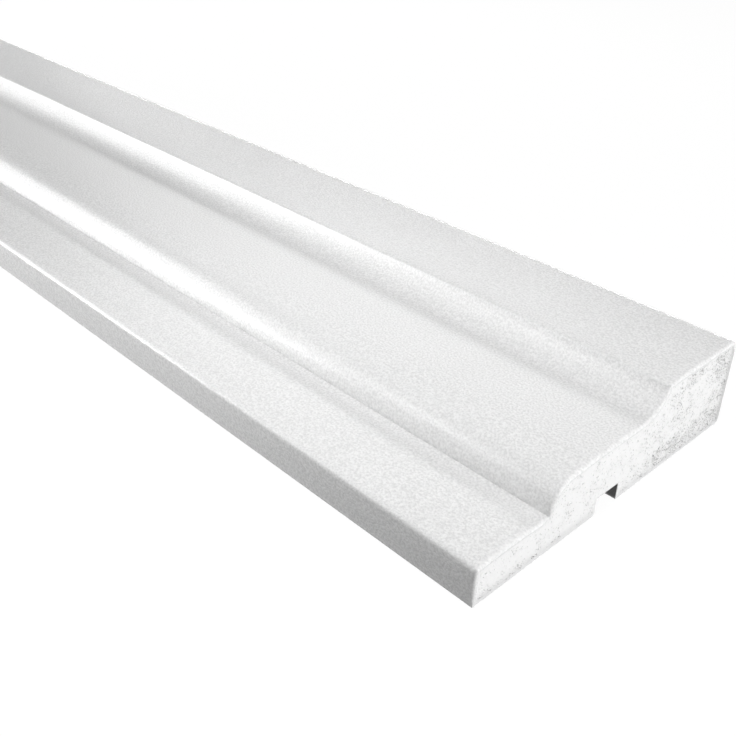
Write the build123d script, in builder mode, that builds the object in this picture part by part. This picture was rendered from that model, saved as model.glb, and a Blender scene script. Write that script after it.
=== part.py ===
"""Facade moulding: one stock length of white hard-foam trim, lying on its flat back.

The length runs along X, the thin front lip faces -Y, the thick rear edge faces +Y
and the moulded face looks up. The origin is under the middle, on the back plane.
"""

import os

from build123d import *

# Driving dimensions in millimetres, the members of the section in order from the front lip.
# Each land is level at its rear and eases down a little towards its front edge.
stock_length = 2000.0

lip_height = 12.6  # front face, from the back plane to the front of the low land
lip_radius = 2.0  # soft upper edge of the lip

low_land_width = 29.5
low_land_ease = 12.0  # width over which the low land eases down
low_land_drop = 0.5

ovolo_projection = 8.5
ovolo_rise = 9.3  # from the low land to the level of the fascia

fascia_width = 33.1
fascia_ease = 16.0
fascia_drop = 0.6

cove_projection = 11.4
cove_rise = 8.6  # from the fascia to the level of the top land
arris_radius = 1.0  # edge between the cove and the top land

top_land_width = 37.5
top_land_ease = 12.0
top_land_drop = 0.5
rear_top_radius = 3.0
rear_bottom_radius = 2.0

# Keying groove along the back
groove_distance = 52.2  # from the front face to the near wall of the groove
groove_width = 10.1
groove_depth = 6.0
groove_front_lip_radius = 1.5
groove_rear_lip_radius = 0.8

cut_rim_radius = 0.8  # eased edge all round both cut ends

# Places that follow from the members
foot_y = low_land_width
low_z = lip_height + low_land_drop
fascia_start_y = foot_y + ovolo_projection
fascia_z = low_z + ovolo_rise
cove_start_y = fascia_start_y + fascia_width
arris_y = cove_start_y + cove_projection
top_z = fascia_z + cove_rise
moulding_width = arris_y + top_land_width
groove_end_y = groove_distance + groove_width

# Named points of the section, as (distance from the front face, height)
lip_corner = (0, lip_height)
foot = (foot_y, low_z)
shoulder = (fascia_start_y, fascia_z - fascia_drop)
cove_start = (cove_start_y, fascia_z)
arris_corner = (arris_y, top_z - top_land_drop)
rear_top_corner = (moulding_width, top_z)
rear_bottom_corner = (moulding_width, 0)
groove_front_corner = (groove_distance, 0)
groove_rear_corner = (groove_end_y, 0)

rounded_corners = [
    (lip_corner, lip_radius),
    (arris_corner, arris_radius),
    (rear_top_corner, rear_top_radius),
    (rear_bottom_corner, rear_bottom_radius),
    (groove_front_corner, groove_front_lip_radius),
    (groove_rear_corner, groove_rear_lip_radius),
]

# The section is drawn at the -X end, with its own x axis along +Y and its y axis along +Z
section_plane = Plane(
    origin=(-stock_length / 2, -moulding_width / 2, 0), x_dir=(0, 1, 0), z_dir=(1, 0, 0)
)

with BuildPart() as moulding:
    with BuildSketch(section_plane) as section:
        with BuildLine() as outline:
            # Front lip and low land, up to the crisp foot of the ovolo
            Line((0, 0), lip_corner)
            low_level = Line(foot, (low_land_ease, low_z))
            TangentArc(low_level @ 1, lip_corner, tangent=low_level % 1)
            # Fascia, and the ovolo as a convex quarter that runs on from its ease to the foot
            fascia_level = Line(cove_start, (fascia_start_y + fascia_ease, fascia_z))
            ease = TangentArc(fascia_level @ 1, shoulder, tangent=fascia_level % 1)
            TangentArc(shoulder, foot, tangent=ease % 1)
            # Cove: leaves the fascia level and rises to the arris of the top land
            TangentArc(cove_start, arris_corner, tangent=(1, 0))
            # Top land
            top_level = Line(rear_top_corner, (arris_y + top_land_ease, top_z))
            TangentArc(top_level @ 1, arris_corner, tangent=top_level % 1)
            # Rear edge and the flat back to the front lip again
            Polyline(rear_top_corner, rear_bottom_corner, (0, 0))
        make_face()
        with Locations((groove_distance, 0)):
            Rectangle(groove_width, groove_depth, align=(Align.MIN, Align.MIN), mode=Mode.SUBTRACT)
        for corner, radius in rounded_corners:
            fillet(section.vertices().sort_by_distance(corner)[0], radius)
    extrude(amount=stock_length)
    cut_ends = moulding.faces().filter_by(Axis.X)
    fillet(cut_ends.edges(), cut_rim_radius)

moulding.part.label = "facade_moulding"
os.makedirs("parts", exist_ok=True)
export_step(moulding.part, "parts/facade_moulding.step")
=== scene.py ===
"""A stock length of white hard-foam facade moulding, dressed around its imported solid.

The moulding lies on its flat back on a pale studio floor. One closed mesh stands for the solid:
the extruded body, the rounded rim of both cut ends and the foam cells that the saw opened there.
"""

import math
import random

import bpy
import numpy as np
from bpy.props import FloatProperty, FloatVectorProperty, IntProperty, PointerProperty
from mathutils import Matrix, Vector, noise
from mathutils.geometry import delaunay_2d_cdt


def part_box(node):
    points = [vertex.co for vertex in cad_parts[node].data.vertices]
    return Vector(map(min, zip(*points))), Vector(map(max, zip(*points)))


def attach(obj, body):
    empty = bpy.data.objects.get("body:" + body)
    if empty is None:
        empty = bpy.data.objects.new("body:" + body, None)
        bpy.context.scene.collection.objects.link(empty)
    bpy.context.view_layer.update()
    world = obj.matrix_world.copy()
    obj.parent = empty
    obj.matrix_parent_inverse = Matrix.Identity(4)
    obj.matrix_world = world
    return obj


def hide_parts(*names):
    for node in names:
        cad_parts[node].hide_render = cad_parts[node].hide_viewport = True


bl_info = {
    "name": "Facade Moulding",
    "version": (1, 0, 0),
    "blender": (4, 5, 0),
    "location": "View3D > Sidebar > Moulding",
    "description": "Builds a stock length of hard-foam facade moulding and its studio",
    "category": "Object",
}

MM = 0.001
NODE = "facade_moulding"
BODY = "root"

# Mesh of the moulding
SKIN, CORE = 0, 1  # material slots
FLAT_STEP = 0.8 * MM  # distance between points of the section on flats
CURVE_STEP = 0.3 * MM  # and on its curves
STATIONS = (-1, -0.9, 0, 0.9, 1)  # loops of the body, as shares of half its length
RIM_STEPS = 5  # loops of the rounding round a cut end
RIM_BLEND_PASSES = 6  # smoothing of the rim's width along the outline
CORE_STEP = 0.15 * MM  # width of the step from the skin down to the core
SHARP_ANGLE = math.radians(40)
GROOVE_FADE = (0.2 * MM, 1.2 * MM)  # heights between which the groove's painted shade fades in above its lips
GROOVE_SLACK = 0.1 * MM  # reach above the groove's roof that still counts as the groove

# How far the outline of a cut end may move inward, by the radius of a bend and the way from it
FOLD_SHARE = 0.7
FOLD_SLOPE = 0.55
MITRE_LIMIT = 0.6  # smallest cosine that a mitred corner is stretched by

# Bands of the section in which the cells of a cut end grow denser
BLOCK_BAND = (60 * MM, 95 * MM)  # from the fascia to the thick rear block
REAR_BAND = (14 * MM, 3 * MM)  # distances from the rear face
TOP_BAND = (7 * MM, 2 * MM)  # depths below the top land
TOP_START = (86 * MM, 104 * MM)  # where the band below the top land starts
BACK_BAND = (4 * MM, 11 * MM)  # heights above the back, below the lip's land and in the block
BACK_FULL = 0.4  # share of that height in which the cells are densest
PATCH_NOISE = (-0.35, 0.4)  # noise between a patch with few cells and one with many
MOST_OPEN = 0.9  # largest share of open cells

# Cells of a cut end
SITE_JITTER = 0.3  # stray of a cell's site, in cell pitches
CELL_ROOM = 1.5  # distance from the core's edge that a cell needs, in radii
CLOSED_ROOM = 0.3  # and that a closed site needs, in cell pitches
CELL_STRETCH = (0.8, 1.25)
CELL_RINGS = [  # radius, number of points, depth and painted shade, as shares of the cell's own
    (0.0, 1, 1.0, 1.0),
    (0.6, 5, 0.8, 0.8),
    (1.0, 8, 0.0, 0.1),
]
LONE_CELL = 0.25  # depth and shade of a cell that stands alone, by those of a crowded one
CROWDED_SHARE = 0.45  # share of open cells from which they are crowded
TORN_DEPTH = (-0.02 * MM, 0.04 * MM)  # unevenness of the sawn face between the cells
TORN_SHADE = 0.35  # most shade between crowded cells
EDGE_SHADE = 0.15  # painted shade along the step down to the core's edge, and what the top land adds to it
EDGE_BAND = (82 * MM, 92 * MM)  # where the top land's share starts

POLYSTYRENE_IOR = 1.59
FLOOR_GAP = 0.2 * MM  # between the floor and the moulding's back
SENSOR_WIDTH = 36  # of the camera, in millimetres
CLIP_START = 0.01

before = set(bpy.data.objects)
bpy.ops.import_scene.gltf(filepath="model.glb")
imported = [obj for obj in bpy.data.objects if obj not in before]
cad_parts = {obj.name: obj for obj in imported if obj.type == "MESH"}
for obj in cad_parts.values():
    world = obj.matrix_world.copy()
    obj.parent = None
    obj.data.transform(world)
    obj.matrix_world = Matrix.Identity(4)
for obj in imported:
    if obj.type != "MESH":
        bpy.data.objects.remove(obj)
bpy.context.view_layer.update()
NODE_LOW, NODE_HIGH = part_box(NODE)


def length(name, description, millimetres):
    """A length property, written in millimetres and stored in metres."""
    return FloatProperty(name=name, description=description, default=millimetres * MM, unit="LENGTH")


def share(name, description, default):
    """A share of one, such as a roughness."""
    return FloatProperty(
        name=name, description=description, default=default, min=0, max=1, subtype="FACTOR"
    )


def angle(name, description, degrees):
    """An angle property, written in degrees."""
    return FloatProperty(
        name=name, description=description, default=math.radians(degrees), subtype="ANGLE"
    )


def linear(hex_colour):
    """sRGB hex text as linear RGB."""
    values = [int(hex_colour[i : i + 2], 16) / 255 for i in (1, 3, 5)]
    return [v / 12.92 if v <= 0.04045 else ((v + 0.055) / 1.055) ** 2.4 for v in values]


def colour(name, description, hex_colour):
    """A colour property, written as sRGB hex text."""
    return FloatVectorProperty(
        name=name, description=description, default=linear(hex_colour), subtype="COLOR", min=0, max=1
    )


class MouldingSection(bpy.types.PropertyGroup):
    """The members of the section in order from the front lip. Each land eases down a little to
    its front edge, and the low land has a shallow hollow along the ovolo that ends in a fine
    crease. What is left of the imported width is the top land, and what is left of the packed
    height is the rise of the cove."""

    lip_height: length("Lip height", "Front face, from the back plane to the low land", 12.6)
    lip_radius: length("Lip radius", "Soft upper edge of the lip", 2.0)
    lip_lean: length("Lip lean", "How far the upper part of the front face leans back", 0.4)
    lip_lean_height: length("Lip lean height", "Height over which the front face leans back", 8.0)
    low_land_width: length("Low land width", "From the front face to the foot of the ovolo", 29.5)
    low_land_ease: length("Low land ease", "Width over which the low land eases down", 12.0)
    low_land_drop: length("Low land drop", "How far the low land eases down", 0.5)
    hollow_width: length("Hollow width", "Shallow hollow of the low land along the ovolo", 11.5)
    hollow_dip: length("Hollow dip", "Width over which that hollow dips to its middle", 5.175)
    hollow_depth: length("Hollow depth", "How far that hollow dips by its middle", 0.3)
    hollow_end_depth: length("Hollow end depth", "Depth of that hollow beside the crease", 0.1)
    crease_width: length("Crease width", "Fine crease along the foot of the ovolo", 0.4)
    crease_depth: length("Crease depth", "Depth of that crease below the low land", 0.45)
    ovolo_projection: length("Ovolo projection", "From the foot of the ovolo to the flat band", 8.5)
    ovolo_rise: length("Ovolo rise", "From the foot of the ovolo up to the flat band", 9.3)
    fascia_width: length("Fascia width", "Flat band between the ovolo and the cove", 33.1)
    fascia_ease: length("Fascia ease", "Width over which the flat band eases down", 16.0)
    fascia_drop: length("Fascia drop", "How far the flat band eases down", 0.6)
    cove_projection: length("Cove projection", "From the flat band to the top land's arris", 11.4)
    arris_radius: length("Arris radius", "Edge between the cove and the top land", 1.0)
    top_land_ease: length("Top land ease", "Width over which the top land eases down", 12.0)
    top_land_drop: length("Top land drop", "How far the top land eases down", 0.5)
    rear_top_radius: length("Rear top radius", "Edge between the top land and the rear face", 3.0)
    rear_bottom_radius: length("Rear bottom radius", "Edge between the rear face and the back", 2.0)
    groove_distance: length("Groove distance", "From the front face to the keying groove", 52.2)
    groove_width: length("Groove width", "Width of the keying groove", 10.1)
    groove_depth: length("Groove depth", "Depth of the keying groove", 6.0)
    groove_front_lip: length("Groove front lip", "Rounding of the groove's front lip", 1.5)
    groove_rear_lip: length("Groove rear lip", "Rounding of the groove's rear lip", 0.8)
    groove_corner: length("Groove corner", "Rounding of the groove's inner corners", 0.3)
    front_edge: length("Front edge", "Rounding of the front face's bottom edge", 0.3)


class CutEnds(bpy.types.PropertyGroup):
    """The two sawn ends: rounded rim, skin seen in section, and the sawn core with its open cells.
    The core is painted greyer towards the rear and bottom edges, and the cells' insides darker,
    both as painted shade. Shares of open cells add up where they meet."""

    face_rim: length("Face rim", "Rounding of the cut end along the moulded face", 1.0)
    rear_rim: length("Rear rim", "Rounding of the cut end along the rear edge", 0.4)
    back_rim: length("Back rim", "Rounding of the cut end along the back", 0.4)
    groove_rim: length("Groove rim", "Rounding of the cut end round the keying groove", 0.3)
    skin_thickness: length("Skin thickness", "Dense skin inside the rim", 0.3)
    core_recess: length("Core recess", "How far the saw tore the core below the skin", 0.06)
    cell_pitch: length("Cell pitch", "Distance between neighbouring cell sites", 0.5)
    cell_radius_low: length("Smallest cell", "Radius of the smallest open cell", 0.13)
    cell_radius_high: length("Largest cell", "Radius of the largest open cell", 0.34)
    cell_depth: FloatProperty(
        name="Cell depth", description="Depth of a crowded cell by its radius", default=1.6
    )
    open_share: share("Open cells", "Share of the cell sites that lie open anywhere", 0.14)
    open_back: share("Open along the back", "Share added along the back", 0.16)
    open_block_back: share("Open under the block", "Share added along the back of the block", 0.5)
    open_block: share("Open in the block", "Share added in the thick rear block", 0.1)
    open_rear: share("Open at the rear", "Share added along the rear edge", 0.25)
    open_top: share("Open at the top", "Share added below the top land", 0.25)
    patch_width: length("Patch width", "Width of patches with many or few cells", 4.0)
    # painted shade: the sawn core is coloured greyer towards its rear and bottom edges
    rear_painted_shade: share("Rear grey", "Share of a cell's shade on the core's rear edge", 0.36)
    bottom_painted_shade: share("Bottom grey", "Share of a cell's shade on the core's bottom edge", 0.2)
    grey_start: length("Grey start", "Width of the full grey along those edges", 0.5)
    grey_end: length("Grey end", "Width over which that grey is gone", 4.5)
    seed: IntProperty(name="Seed", description="Seed of the cell sites", default=7)


class MouldingFinish(bpy.types.PropertyGroup):
    """Colours and gloss of the skin and the cut core."""

    skin: colour("Skin", "White extruded skin", "#F4F4F4")
    # painted shade: the stipple's hollows are coloured darker than its crowns
    skin_hollow_shade: colour("Skin hollow", "White skin in the hollows of its stipple", "#DEDEDE")
    # painted shade: the inside of the keying groove is coloured near black
    groove: colour("Groove", "Dark inside of the keying groove", "#161616")
    core: colour("Core", "Sawn foam between the cells", "#F2F2F2")
    # painted shade: the insides of open cells are coloured grey
    cell: colour("Cell", "Inside of an open cell", "#808080")
    skin_roughness: share("Skin roughness", "Gloss of the skin: 0 is a mirror", 0.25)
    core_roughness: share("Core roughness", "Gloss of the sawn core", 0.8)
    stipple: length("Stipple", "Distance between the bumps of the skin's stipple", 0.7)
    stipple_height: length("Stipple height", "Height of the skin's stipple", 0.16)
    hollow_level: share("Hollow level", "Level of the stipple below which its hollows lie", 0.35)
    crown_level: share("Crown level", "Level of the stipple above which its crowns lie", 0.65)
    core_specular: share("Core specular", "Strength of the sawn core's weak sheen", 0.1)
    core_grain: length("Core grain", "Distance between the tears of the sawn core", 0.5)
    core_grain_height: length("Core grain height", "Height of those tears", 0.06)


class StudioSetup(bpy.types.PropertyGroup):
    """Floor and camera. The camera's place counts from the near end's bottom front corner."""

    floor: colour("Floor", "Pale floor as the light sees it", "#5A5A5A")
    floor_width: length("Floor width", "Side of the floor", 14000)
    floor_glow: share("Floor glow", "White that the camera adds to the floor", 0.95)
    camera_place: FloatVectorProperty(
        name="Camera place",
        description="From the near end's bottom front corner",
        default=(0.1064, -0.1402, 0.1805),
        subtype="TRANSLATION",
        unit="LENGTH",
    )
    camera_heading: angle("Heading", "Turn of the camera about Z", 46.05)
    camera_tilt: angle("Tilt", "Tilt of the camera up from straight down", 57.8)
    camera_roll: angle("Roll", "Roll of the camera about its own view", 0.91)
    lens: FloatProperty(
        name="Lens", description="Focal length on a 36 mm sensor, in millimetres", default=47.35
    )


# Lamps: name, place and point aimed at from the near end's bottom front corner, length along the
# moulding, width across it, spread in degrees, power in watts, and whether gloss shows the lamp.
# The end softbox lights the cut end, and its glare would burn out the lands seen along the length.
LAMPS = [
    ("near_softbox", (0.03, 0.03, 0.13), (0.03, 0.03, 0.0), 0.14, 0.14, 180, 0.062, True),
    ("middle_softbox", (-0.12, 0.03, 0.13), (-0.12, 0.03, 0.0), 0.14, 0.14, 180, 0.05, True),
    ("front_softbox", (-0.12, -0.07, 0.13), (-0.12, -0.07, 0.0), 0.14, 0.14, 180, 0.076, True),
    ("left_softbox", (-0.2, -0.2, 0.22), (-0.2, -0.2, 0.0), 0.14, 0.14, 180, 0.28, True),
    ("end_softbox", (0.639, 0.133, 0.128), (-0.2, 0.06, 0.01), 0.4, 0.4, 180, 5.48, False),
    ("low_softbox", (-0.844, -0.408, 0.094), (-0.4, 0.0, 0.01), 0.3, 0.3, 80, 0.94, True),
    ("far_softbox", (-0.85, -0.216, 0.386), (-0.3, 0.06, 0.01), 0.3, 0.3, 90, 0.345, True),
    ("rear_strip", (-0.85, 0.6, 0.36), (-0.85, 0.06, 0.01), 1.1, 0.12, 180, 1.5, True),
    ("rear_near_strip", (-0.05, 0.6, 0.36), (-0.05, 0.06, 0.01), 0.5, 0.12, 180, 0.4, True),
    ("far_strip", (-1.4, -0.15, 0.5), (-1.4, 0.06, 0.01), 1.4, 0.3, 70, 1.05, True),
    ("rear_fill", (-1.0, 0.9, 0.018), (-1.0, 0.12, 0.018), 2.0, 0.026, 180, 4.0, True),
    ("far_end_softbox", (-2.5, 0.06, 0.15), (-2.0, 0.06, 0.015), 0.3, 0.3, 180, 2.0, True),
]


def smooth_step(low, high, value):
    """0 below low, 1 above high and a smooth rise between them."""
    t = np.clip((value - low) / (high - low), 0, 1)
    return t * t * (3 - 2 * t)


# Section


def straight(start, end, step):
    """Points from start to end, about a step apart."""
    count = max(1, round(math.dist(start, end) / step))
    return np.linspace(start, end, count + 1)


def tangent_arc(start, end, heading, step):
    """Points of the arc that leaves the start at a heading, an angle up from level, and ends at
    the end."""
    start, end = np.array(start), np.array(end)
    chord = end - start
    half_turn = math.atan2(chord[1], chord[0]) - heading
    half_turn = math.atan2(math.sin(half_turn), math.cos(half_turn))
    radius = np.linalg.norm(chord) / (2 * math.sin(half_turn))
    count = max(2, math.ceil(2 * abs(radius * half_turn) / step))
    headings = heading + np.linspace(0, 2 * half_turn, count + 1)
    across = np.sin(headings) - math.sin(heading)
    upward = math.cos(heading) - np.cos(headings)
    return start + radius * np.column_stack([across, upward])


def eased_land(start, end, width, step):
    """Points of a land that rises from its start in a soft arc of that width and then runs level."""
    level = (start[0] + width, end[1])
    ease = tangent_arc(level, start, math.pi, step)[::-1]
    return np.vstack([ease[:-1], straight(level, end, step)])


def cut_back(points, amount):
    """The polyline without a stretch of that length at its end."""
    steps = np.linalg.norm(np.diff(points, axis=0), axis=1)
    along = np.concatenate([[0], np.cumsum(steps)])
    keep = along[-1] - amount
    kept = along < keep - 1e-9
    last = [np.interp(keep, along, points[:, k]) for k in (0, 1)]
    return np.vstack([points[kept], last])


def round_over(before, after, radius, step):
    """The two polylines, shortened at the corner that they share, and the rounding between them."""
    if radius <= 0:
        return before, after, np.empty((0, 2))
    corner = before[-1]
    toward = before[-2] - corner
    away = after[1] - corner
    cosine = toward @ away / (np.linalg.norm(toward) * np.linalg.norm(away))
    reach = radius / math.tan(math.acos(cosine) / 2)
    before = cut_back(before, reach)
    after = cut_back(after[::-1], reach)[::-1]
    count = max(4, math.ceil(2 * reach / step))
    t = np.linspace(0, 1, count + 1)[1:-1, None]
    rounding = (1 - t) ** 2 * before[-1] + 2 * t * (1 - t) * corner + t**2 * after[0]
    return before, after, rounding


def section_outline(section, ends):
    """Outline of the section, clockwise from the bottom of the front face, as distances from the
    front face and heights, and the rounding of the cut ends' rim at each of its points."""
    width = NODE_HIGH.y - NODE_LOW.y
    top = NODE_HIGH.z - NODE_LOW.z
    face_rim, groove_rim = ends.face_rim, ends.groove_rim
    lean_start = (0, section.lip_height - section.lip_lean_height)
    lip = (section.lip_lean, section.lip_height)
    lean = tangent_arc(lean_start, lip, math.pi / 2, FLAT_STEP)
    front = np.vstack([straight((0, 0), lean_start, FLAT_STEP)[:-1], lean])
    foot = (section.low_land_width, section.lip_height + section.low_land_drop)
    hollow_start = (foot[0] - section.hollow_width, foot[1])
    hollow_middle = (hollow_start[0] + section.hollow_dip, foot[1] - section.hollow_depth)
    hollow_slope = 2 * math.atan2(section.hollow_depth, section.hollow_dip)
    hollow_end = (foot[0] - section.crease_width, foot[1] - section.hollow_end_depth)
    crease = (foot[0], foot[1] - section.crease_depth)
    fascia_z = foot[1] + section.ovolo_rise
    shoulder = (foot[0] + section.ovolo_projection, fascia_z - section.fascia_drop)
    shoulder_slope = 2 * math.atan2(section.fascia_drop, section.fascia_ease)
    ovolo = tangent_arc(shoulder, crease, math.pi + shoulder_slope, CURVE_STEP)[::-1]
    fascia_end = (shoulder[0] + section.fascia_width, fascia_z)
    arris = (fascia_end[0] + section.cove_projection, top - section.top_land_drop)
    rear_top, rear_bottom = (width, top), (width, 0)
    top_land = eased_land(arris, rear_top, section.top_land_ease, FLAT_STEP)
    groove_start = section.groove_distance
    groove_end = groove_start + section.groove_width
    front_lip, front_roof = (groove_start, 0), (groove_start, section.groove_depth)
    rear_lip, rear_roof = (groove_end, 0), (groove_end, section.groove_depth)
    members = [
        # points, rounding of the corner at their end, rounding of the cut ends along them
        (front, section.lip_radius, face_rim),
        (eased_land(lip, hollow_start, section.low_land_ease, FLAT_STEP), 0, face_rim),
        (tangent_arc(hollow_start, hollow_middle, 0, FLAT_STEP), 0, face_rim),
        (tangent_arc(hollow_middle, hollow_end, -hollow_slope, FLAT_STEP), 0, face_rim),
        (straight(hollow_end, crease, CURVE_STEP), 0, face_rim),
        (ovolo, 0, face_rim),
        (eased_land(shoulder, fascia_end, section.fascia_ease, FLAT_STEP), 0, face_rim),
        (tangent_arc(fascia_end, arris, 0, CURVE_STEP), section.arris_radius, face_rim),
        (top_land, section.rear_top_radius, face_rim),
        (straight(rear_top, rear_bottom, FLAT_STEP), section.rear_bottom_radius, ends.rear_rim),
        (straight(rear_bottom, rear_lip, FLAT_STEP), section.groove_rear_lip, ends.back_rim),
        (straight(rear_lip, rear_roof, FLAT_STEP), section.groove_corner, groove_rim),
        (straight(rear_roof, front_roof, FLAT_STEP), section.groove_corner, groove_rim),
        (straight(front_roof, front_lip, FLAT_STEP), section.groove_front_lip, groove_rim),
        (straight(front_lip, (0, 0), FLAT_STEP), section.front_edge, ends.back_rim),
    ]
    runs = [points for points, _, _ in members]
    roundings = []
    for i, (_, radius, _) in enumerate(members):
        follower = (i + 1) % len(members)
        runs[i], runs[follower], rounding = round_over(runs[i], runs[follower], radius, CURVE_STEP)
        roundings.append(rounding)
    outline, rims = [], []
    for run, rounding, (_, radius, rim) in zip(runs, roundings, members):
        stretch = run if radius > 0 else run[:-1]
        stretch = np.vstack([stretch, rounding])
        outline.append(stretch)
        rims += [rim] * len(stretch)
    return np.vstack(outline), np.array(rims)


def inward_normals(outline):
    """Mitred inward direction at each point of a clockwise outline."""
    ahead = np.roll(outline, -1, axis=0) - outline
    ahead /= np.linalg.norm(ahead, axis=1)[:, None]
    behind = np.roll(ahead, 1, axis=0)
    bisector = ahead + behind
    bisector /= np.linalg.norm(bisector, axis=1)[:, None]
    mitre = np.clip((bisector * ahead).sum(axis=1), MITRE_LIMIT, 1)
    return np.column_stack([bisector[:, 1], -bisector[:, 0]]) / mitre[:, None]


def convex_radius(outline):
    """Radius of the outline's bend at each point where it is convex, and a large one elsewhere."""
    ahead = np.roll(outline, -1, axis=0) - outline
    behind = outline - np.roll(outline, 1, axis=0)
    turn = behind[:, 0] * ahead[:, 1] - behind[:, 1] * ahead[:, 0]
    ahead_length = np.linalg.norm(ahead, axis=1)
    behind_length = np.linalg.norm(behind, axis=1)
    reach = (ahead_length + behind_length) / 2
    bend = np.arcsin(np.clip(-turn / (ahead_length * behind_length), -1, 1))
    straight_bend, straight_radius = 1e-3, 1.0
    return np.where(bend > straight_bend, reach / np.maximum(bend, straight_bend), straight_radius)


def inset_room(outline):
    """How far each point can move inward before the outline folds at a tight convex bend nearby."""
    room = FOLD_SHARE * convex_radius(outline)
    steps = np.linalg.norm(np.roll(outline, -1, axis=0) - outline, axis=1)
    count = len(outline)
    for _ in range(2):
        for i in range(count):
            room[i] = min(room[i], room[i - 1] + FOLD_SLOPE * steps[i - 1])
        for i in reversed(range(count)):
            room[i] = min(room[i], room[(i + 1) % count] + FOLD_SLOPE * steps[i])
    return room


def end_widths(outline, rims, ends):
    """Rounding of the rim, width of the skin and width of the step to the core at each point of
    a cut end, with soft changes along the outline and less at tight bends."""
    for _ in range(RIM_BLEND_PASSES):
        rims = (np.roll(rims, 1) + 2 * rims + np.roll(rims, -1)) / 4
    count = len(outline)
    widths = np.array([rims, np.full(count, ends.skin_thickness), np.full(count, CORE_STEP)])
    return widths * np.minimum(1, inset_room(outline) / widths.sum(axis=0))


def groove_shade(outline, section):
    """Painted shade: 1 on the walls and roof of the keying groove, fading to 0 at its lips and on
    the rest.
    """
    y, z = outline[:, 0], outline[:, 1]
    lips = section.groove_front_lip + section.groove_rear_lip
    half = section.groove_width / 2
    beside = np.abs(y - section.groove_distance - half) < half + lips
    below = z < section.groove_depth + GROOVE_SLACK
    return np.where(beside & below, smooth_step(*GROOVE_FADE, z), 0)


# Cut ends


def cell_share(y, z, ends):
    """Share of the cell sites that lie open. Cells crowd along the back, the rear edge and in the
    thick rear block, and they come in patches."""
    width = NODE_HIGH.y - NODE_LOW.y
    top = NODE_HIGH.z - NODE_LOW.z
    block = smooth_step(*BLOCK_BAND, y)
    crowded = BACK_BAND[0] + (BACK_BAND[1] - BACK_BAND[0]) * block
    back = 1 - smooth_step(BACK_FULL * crowded, crowded, z)
    rear = smooth_step(width - REAR_BAND[0], width - REAR_BAND[1], y)
    under_top = smooth_step(*TOP_START, y) * smooth_step(top - TOP_BAND[0], top - TOP_BAND[1], z)
    along_back = back * (ends.open_back + ends.open_block_back * block)
    beside = ends.open_block * block + ends.open_rear * rear + ends.open_top * under_top
    places = np.column_stack([y, z, np.full(len(y), ends.seed * MM)]) / ends.patch_width
    patch = np.array([noise.noise(Vector(place)) for place in places])
    open_share = (ends.open_share + along_back + beside) * (0.5 + smooth_step(*PATCH_NOISE, patch))
    return np.clip(open_share, 0, MOST_OPEN)


def sawn_painted_shade(y, z, ends):
    """Share of the cell colour painted on the sawn face itself as shade, darker towards its rear and
    bottom.
    """
    width = NODE_HIGH.y - NODE_LOW.y
    rear = ends.rear_painted_shade * smooth_step(width - ends.grey_end, width - ends.grey_start, y)
    bottom = ends.bottom_painted_shade * (1 - smooth_step(ends.grey_start, ends.grey_end, z))
    return np.maximum(rear, bottom)


def inside(outline, points):
    """True for each point that lies inside the closed outline."""
    y, z = points[:, 0, None], points[:, 1, None]
    y0, z0 = outline[:, 0], outline[:, 1]
    y1, z1 = np.roll(y0, -1), np.roll(z0, -1)
    crosses = (z0 > z) != (z1 > z)
    with np.errstate(divide="ignore", invalid="ignore"):
        at = y0 + (z - z0) / (z1 - z0) * (y1 - y0)
    return (crosses & (y < at)).sum(axis=1) % 2 == 1


def edge_distance(outline, points):
    """Distance of each point from the closed outline."""
    start, end = outline, np.roll(outline, -1, axis=0)
    span = end - start
    offset = points[:, None, :] - start[None, :, :]
    t = np.clip((offset * span).sum(axis=2) / (span * span).sum(axis=1), 0, 1)
    return np.linalg.norm(offset - t[:, :, None] * span, axis=2).min(axis=1)


def core_points(edge, ends, seed):
    """Points inside the core's edge, the depth of each below the core's face and its share of
    the cell colour, which paints the cells' insides and the sawn edges in shade. Each open cell
    has a bottom, a ring on its wall and a ring at its mouth, and it is shallower and paler where
    it stands alone."""
    dice = random.Random(seed)
    low, high = edge.min(axis=0), edge.max(axis=0)
    pitch = ends.cell_pitch
    sites = []
    for y in np.arange(low[0], high[0], pitch):
        for z in np.arange(low[1], high[1], pitch):
            stray_y = dice.uniform(-SITE_JITTER, SITE_JITTER) * pitch
            stray_z = dice.uniform(-SITE_JITTER, SITE_JITTER) * pitch
            sites.append((y + stray_y, z + stray_z, dice.random(), dice.random()))
    sites = np.array(sites)
    sites = sites[inside(edge, sites[:, :2])]
    y, z, opening, size = sites.T
    room = edge_distance(edge, sites[:, :2])
    crowding = cell_share(y, z, ends)
    radii = ends.cell_radius_low + (ends.cell_radius_high - ends.cell_radius_low) * size**2
    is_open = (opening < crowding) & (room > CELL_ROOM * radii)
    greys = sawn_painted_shade(y, z, ends)
    points, depths, shades = [], [], []
    for i in range(len(sites)):
        if not is_open[i]:
            if room[i] > CLOSED_ROOM * pitch:
                points.append((y[i], z[i]))
                depths.append(dice.uniform(*TORN_DEPTH))
                shades.append(greys[i] + dice.uniform(0, TORN_SHADE) * crowding[i])
            continue
        openness = LONE_CELL + (1 - LONE_CELL) * min(1, crowding[i] / CROWDED_SHARE)
        stretch = dice.uniform(*CELL_STRETCH)
        turn = dice.uniform(0, math.pi)
        for reach, count, depth, shade in CELL_RINGS:
            for k in range(count):
                around = turn + 2 * math.pi * k / count
                across = reach * radii[i] * stretch * math.cos(around)
                upward = reach * radii[i] / stretch * math.sin(around)
                points.append((y[i] + across, z[i] + upward))
                depths.append(openness * depth * ends.cell_depth * radii[i])
                shades.append(max(openness * shade, greys[i]))
    return np.array(points), np.array(depths), np.array(shades)


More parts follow.
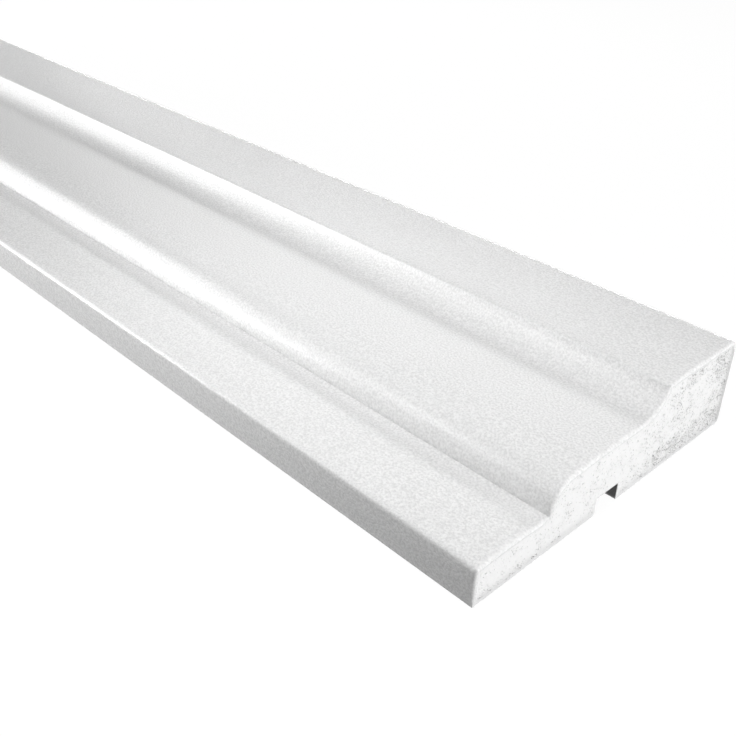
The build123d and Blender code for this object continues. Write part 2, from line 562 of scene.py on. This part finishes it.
class MeshDraft:
    """Vertices, faces and per-face materials, gathered loop by loop."""

    def __init__(self):
        self.vertices = []
        self.shades = []
        self.faces = []
        self.materials = []

    def add(self, xyz, shade):
        """Adds vertices and returns their numbers."""
        first = len(self.vertices)
        self.vertices.extend(map(tuple, xyz))
        self.shades.extend(np.broadcast_to(shade, len(xyz)))
        return np.arange(first, first + len(xyz))

    def bridge(self, a, b, material):
        """Quads between two closed loops, facing out when b is further along the loops' axis."""
        a_next, b_next = np.roll(a, -1), np.roll(b, -1)
        self.faces.extend(np.column_stack([a, b, b_next, a_next]).tolist())
        self.materials.extend(np.broadcast_to(material, len(a)))

    def fill(self, faces, material):
        """Adds faces as they are."""
        self.faces.extend(faces)
        self.materials.extend([material] * len(faces))


def row_points(x, outline):
    """Section points at distances x along the length, in the row frame."""
    x = np.broadcast_to(x, len(outline))
    return np.column_stack([x, outline[:, 0] + NODE_LOW.y, outline[:, 1] + NODE_LOW.z])


def add_cut_end(draft, body_loop, outline, shade, widths, finishes, ends, side):
    """Rim, skin and core of the cut end at +X (side 1) or -X (side -1)."""
    half = (NODE_HIGH.x - NODE_LOW.x) / 2
    inward = inward_normals(outline)
    rim, skin, step = widths
    is_sawn = (finishes == CORE) & (np.roll(finishes, 1) == CORE)
    # painted shade along the sawn rear and bottom edges
    grey = np.where(is_sawn, sawn_painted_shade(*outline.T, ends), 0)

    def join(first, second, material):
        pair = (first, second) if side > 0 else (second, first)
        draft.bridge(*pair, material)

    loop = body_loop
    for k in range(1, RIM_STEPS + 1):
        bend = math.pi / 2 * k / RIM_STEPS
        inset = outline + inward * (rim * (1 - math.cos(bend)))[:, None]
        x = side * (half - rim * (1 - math.sin(bend)))
        # painted shade round the rim: the groove's fades out, the sawn edges keep theirs
        rim_shade = np.where(is_sawn, grey, shade * math.cos(bend))
        rim_loop = draft.add(row_points(x, inset), rim_shade)
        join(loop, rim_loop, finishes)
        loop = rim_loop
    inset = outline + inward * (rim + skin)[:, None]
    skin_loop = draft.add(row_points(side * half, inset), grey)
    join(loop, skin_loop, finishes)
    edge = inset + inward * step[:, None]
    face_x = half - ends.core_recess
    # painted shade along the step from the skin down to the core, darker under the top land
    line = EDGE_SHADE * (1 + smooth_step(*EDGE_BAND, edge[:, 0]))
    edge_loop = draft.add(row_points(side * face_x, edge), np.maximum(grey, line))
    join(skin_loop, edge_loop, CORE)

    points, depths, shades = core_points(edge, ends, ends.seed + side)
    x = side * (face_x - depths)
    core = draft.add(row_points(x, points), shades)
    numbers = np.concatenate([edge_loop, core])
    flat = np.vstack([edge, points]) / MM
    count = len(edge)
    border = [(k, (k + 1) % count) for k in range(count)]
    flat = [Vector(p) for p in flat]
    _, _, triangles, origins, _, _ = delaunay_2d_cdt(flat, border, [], 1, 1e-6)
    source = [numbers[found[0]] for found in origins]
    triangles = [[int(source[v]) for v in triangle] for triangle in triangles]
    draft.fill(triangles if side > 0 else [t[::-1] for t in triangles], CORE)


def moulding_mesh(section, ends):
    """The whole moulding as one closed mesh."""
    outline, rims = section_outline(section, ends)
    widths = end_widths(outline, rims, ends)
    finishes = np.where((rims == ends.rear_rim) | (rims == ends.back_rim), CORE, SKIN)
    # painted shade inside the keying groove, carried along the body's loops
    shade = groove_shade(outline, section)
    half = (NODE_HIGH.x - NODE_LOW.x) / 2
    draft = MeshDraft()
    body_half = half - widths[0]
    loops = [draft.add(row_points(u * body_half, outline), shade) for u in STATIONS]
    for near, far in zip(loops, loops[1:]):
        draft.bridge(near, far, SKIN)
    add_cut_end(draft, loops[-1], outline, shade, widths, finishes, ends, 1)
    add_cut_end(draft, loops[0], outline, shade, widths, finishes, ends, -1)
    mesh = bpy.data.meshes.new("moulding_length")
    mesh.from_pydata(draft.vertices, [], draft.faces)
    mesh.polygons.foreach_set("material_index", draft.materials)
    # per point share of painted shade: the groove, the cells, the sawn edges and the step to the
    # core, with the sawn face's mottle
    shades = mesh.attributes.new("shade", "FLOAT", "POINT")
    shades.data.foreach_set("value", np.array(draft.shades, np.float32))
    mesh.shade_smooth()
    mesh.set_sharp_from_angle(angle=SHARP_ANGLE)
    mesh.update()
    return mesh


# Materials


def add_node(tree, kind, links=(), **settings):
    """Adds a shader node: settings named in_x set input x, others set the node's own properties,
    and links are (output socket, input name) pairs."""
    node = tree.nodes.new(kind)
    for name, value in settings.items():
        if name.startswith("in_"):
            node.inputs[name[3:].replace("_", " ")].default_value = value
        else:
            setattr(node, name, value)
    for output, name in links:
        tree.links.new(output, node.inputs[name])
    return node


def new_material(name):
    """An empty node material and its tree."""
    material = bpy.data.materials.new(name)
    material.use_nodes = True
    material.node_tree.nodes.clear()
    return material, material.node_tree


def foam_skin_material(finish):
    """Extruded polystyrene skin, primed white: satin, with the fine stipple of the foam under it
    that breaks the gloss up into a soft grain and has its hollows painted darker as shade. The
    keying groove in the back is painted near black as its shade."""
    material, tree = new_material("white_hard_foam_skin")
    place = add_node(tree, "ShaderNodeTexCoord").outputs["Object"]
    stipple = add_node(
        tree,
        "ShaderNodeTexNoise",
        [(place, "Vector")],
        in_Scale=1 / finish.stipple,
        in_Detail=2.0,
        in_Roughness=0.55,
    ).outputs["Fac"]
    # the stipple's hollows are painted darker as shade
    tint = add_node(tree, "ShaderNodeValToRGB", [(stipple, "Fac")])
    hollow, crown = tint.color_ramp.elements
    hollow.position = finish.hollow_level
    hollow.color = (*finish.skin_hollow_shade, 1)
    crown.position = finish.crown_level
    crown.color = (*finish.skin, 1)
    shade = add_node(tree, "ShaderNodeAttribute", attribute_name="shade").outputs["Fac"]
    # mixes in the groove's painted shade
    base_links = [(shade, "Factor"), (tint.outputs["Color"], 6)]
    base = add_node(tree, "ShaderNodeMix", base_links, data_type="RGBA")
    base.inputs[7].default_value = (*finish.groove, 1)
    bump = add_node(
        tree,
        "ShaderNodeBump",
        [(stipple, "Height")],
        in_Strength=1.0,
        in_Distance=finish.stipple_height,
    )
    shader = add_node(
        tree,
        "ShaderNodeBsdfPrincipled",
        [(base.outputs[2], "Base Color"), (bump.outputs["Normal"], "Normal")],
        in_Roughness=finish.skin_roughness,
        in_IOR=POLYSTYRENE_IOR,
    )
    add_node(tree, "ShaderNodeOutputMaterial", [(shader.outputs["BSDF"], "Surface")])
    return material


def foam_core_material(finish):
    """Sawn polystyrene foam: matte and bright, with a fine torn grain between cells whose
    insides are painted darker as shade."""
    material, tree = new_material("sawn_hard_foam")
    place = add_node(tree, "ShaderNodeTexCoord").outputs["Object"]
    shade = add_node(tree, "ShaderNodeAttribute", attribute_name="shade")
    # the cells' insides and the sawn edges are painted darker as shade
    tint = add_node(tree, "ShaderNodeValToRGB", [(shade.outputs["Fac"], "Fac")])
    lit, shaded = tint.color_ramp.elements
    lit.color = (*finish.core, 1)
    shaded.color = (*finish.cell, 1)
    grain = add_node(
        tree,
        "ShaderNodeTexNoise",
        [(place, "Vector")],
        in_Scale=1 / finish.core_grain,
        in_Detail=3.0,
    )
    bump = add_node(
        tree,
        "ShaderNodeBump",
        [(grain.outputs["Fac"], "Height")],
        in_Strength=1.0,
        in_Distance=finish.core_grain_height,
    )
    shader = add_node(
        tree,
        "ShaderNodeBsdfPrincipled",
        [(tint.outputs["Color"], "Base Color"), (bump.outputs["Normal"], "Normal")],
        in_Roughness=finish.core_roughness,
        in_IOR=POLYSTYRENE_IOR,
        in_Specular_IOR_Level=finish.core_specular,
    )
    add_node(tree, "ShaderNodeOutputMaterial", [(shader.outputs["BSDF"], "Surface")])
    return material


def seen_rays(tree):
    """1 for the rays of the eye, of reflections and of what is seen through glass, and 0 for
    those that gather light."""
    path = add_node(tree, "ShaderNodeLightPath").outputs
    direct = add_node(tree, "ShaderNodeMath", operation="MAXIMUM")
    tree.links.new(path["Is Camera Ray"], direct.inputs[0])
    tree.links.new(path["Is Glossy Ray"], direct.inputs[1])
    seen = add_node(tree, "ShaderNodeMath", operation="MAXIMUM")
    tree.links.new(direct.outputs[0], seen.inputs[0])
    tree.links.new(path["Is Transmission Ray"], seen.inputs[1])
    return seen.outputs[0]


def floor_material(studio):
    """Matte pale floor: white to the eye and in reflections, with the moulding's soft shadow."""
    material, tree = new_material("pale_floor")
    matte = add_node(tree, "ShaderNodeBsdfDiffuse", in_Color=(*studio.floor, 1))
    glow = add_node(tree, "ShaderNodeEmission", in_Strength=studio.floor_glow)
    both = add_node(tree, "ShaderNodeAddShader")
    tree.links.new(matte.outputs["BSDF"], both.inputs[0])
    tree.links.new(glow.outputs["Emission"], both.inputs[1])
    mixed = add_node(tree, "ShaderNodeMixShader", [(seen_rays(tree), "Fac")])
    tree.links.new(matte.outputs["BSDF"], mixed.inputs[1])
    tree.links.new(both.outputs["Shader"], mixed.inputs[2])
    add_node(tree, "ShaderNodeOutputMaterial", [(mixed.outputs["Shader"], "Surface")])
    return material


def set_world():
    """White backdrop to the eye and in reflections, which gives no light."""
    world = bpy.data.worlds.new("studio")
    world.use_nodes = True
    tree = world.node_tree
    tree.nodes.clear()
    white = add_node(
        tree, "ShaderNodeBackground", [(seen_rays(tree), "Strength")], in_Color=(1, 1, 1, 1)
    )
    add_node(tree, "ShaderNodeOutputWorld", [(white.outputs["Background"], "Surface")])
    bpy.context.scene.world = world


# Operators


def near_corner():
    """The bottom front corner of the near end, from which the studio is measured."""
    return Vector((NODE_HIGH.x, NODE_LOW.y, NODE_LOW.z))


class MOULDING_OT_add_length(bpy.types.Operator):
    """Build the stock length of moulding with its two cut ends"""

    bl_idname = "moulding.add_length"
    bl_label = "Add Moulding Length"

    def execute(self, context):
        scene = context.scene
        mesh = moulding_mesh(scene.moulding_section, scene.moulding_ends)
        mesh.materials.append(foam_skin_material(scene.moulding_finish))
        mesh.materials.append(foam_core_material(scene.moulding_finish))
        piece = bpy.data.objects.new("moulding_length", mesh)
        scene.collection.objects.link(piece)
        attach(piece, BODY)
        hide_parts(NODE)
        return {"FINISHED"}


class MOULDING_OT_add_stage(bpy.types.Operator):
    """Add the pale floor, the soft lamps and the camera"""

    bl_idname = "moulding.add_stage"
    bl_label = "Add Stage"

    def execute(self, context):
        scene = context.scene
        studio = scene.moulding_studio
        self.add_floor(scene, studio)
        set_world()
        for name, place, aim, along, across, spread, power, gloss in LAMPS:
            lamp = bpy.data.lights.new(name, "AREA")
            lamp.shape = "RECTANGLE"
            lamp.size = along
            lamp.size_y = across
            lamp.spread = math.radians(spread)
            lamp.energy = power
            self.hang_lamp(scene, lamp, Vector(place), Vector(aim), gloss)
        self.add_camera(scene, studio)
        scene.view_settings.view_transform = "Standard"
        return {"FINISHED"}

    def add_floor(self, scene, studio):
        """A wide plane just under the moulding's back."""
        half = studio.floor_width / 2
        z = NODE_LOW.z - FLOOR_GAP
        mesh = bpy.data.meshes.new("studio_floor")
        corners = [(-half, -half, z), (half, -half, z), (half, half, z), (-half, half, z)]
        mesh.from_pydata(corners, [], [(0, 1, 2, 3)])
        mesh.materials.append(floor_material(studio))
        floor = bpy.data.objects.new("studio_floor", mesh)
        scene.collection.objects.link(floor)

    def hang_lamp(self, scene, lamp, place, aim, gloss):
        """Turns a softbox to the point it is aimed at, its first side as near X as it can lie."""
        holder = bpy.data.objects.new(lamp.name, lamp)
        back = (place - aim).normalized()
        up = back.cross(Vector((1, 0, 0))).normalized()
        turn = Matrix((up.cross(back), up, back)).transposed().to_4x4()
        holder.matrix_world = Matrix.Translation(near_corner() + place) @ turn
        holder.visible_camera = False
        holder.visible_glossy = gloss
        scene.collection.objects.link(holder)

    def add_camera(self, scene, studio):
        """The camera at the photograph's place and angle."""
        data = bpy.data.cameras.new("camera")
        data.sensor_width = SENSOR_WIDTH
        data.lens = studio.lens
        data.clip_start = CLIP_START
        camera = bpy.data.objects.new("camera", data)
        turn = (
            Matrix.Rotation(studio.camera_heading, 4, "Z")
            @ Matrix.Rotation(studio.camera_tilt, 4, "X")
            @ Matrix.Rotation(studio.camera_roll, 4, "Z")
        )
        camera.matrix_world = Matrix.Translation(near_corner() + Vector(studio.camera_place)) @ turn
        scene.collection.objects.link(camera)
        scene.camera = camera


class MOULDING_PT_panel(bpy.types.Panel):
    """Sizes, finish and studio of the moulding"""

    bl_idname = "MOULDING_PT_panel"
    bl_label = "Facade Moulding"
    bl_space_type = "VIEW_3D"
    bl_region_type = "UI"
    bl_category = "Moulding"

    def draw(self, context):
        for group in GROUPS:
            box = self.layout.box()
            settings = getattr(context.scene, group)
            for name in settings.__annotations__:
                box.prop(settings, name)
        self.layout.operator(MOULDING_OT_add_length.bl_idname)
        self.layout.operator(MOULDING_OT_add_stage.bl_idname)


GROUPS = {
    "moulding_section": MouldingSection,
    "moulding_ends": CutEnds,
    "moulding_finish": MouldingFinish,
    "moulding_studio": StudioSetup,
}
CLASSES = (*GROUPS.values(), MOULDING_OT_add_length, MOULDING_OT_add_stage, MOULDING_PT_panel)


def register():
    for cls in CLASSES:
        bpy.utils.register_class(cls)
    for name, group in GROUPS.items():
        setattr(bpy.types.Scene, name, PointerProperty(type=group))


def unregister():
    for name in GROUPS:
        delattr(bpy.types.Scene, name)
    for cls in reversed(CLASSES):
        bpy.utils.unregister_class(cls)


def main():
    register()
    bpy.ops.moulding.add_length()
    bpy.ops.moulding.add_stage()


if __name__ == "__main__":
    main()
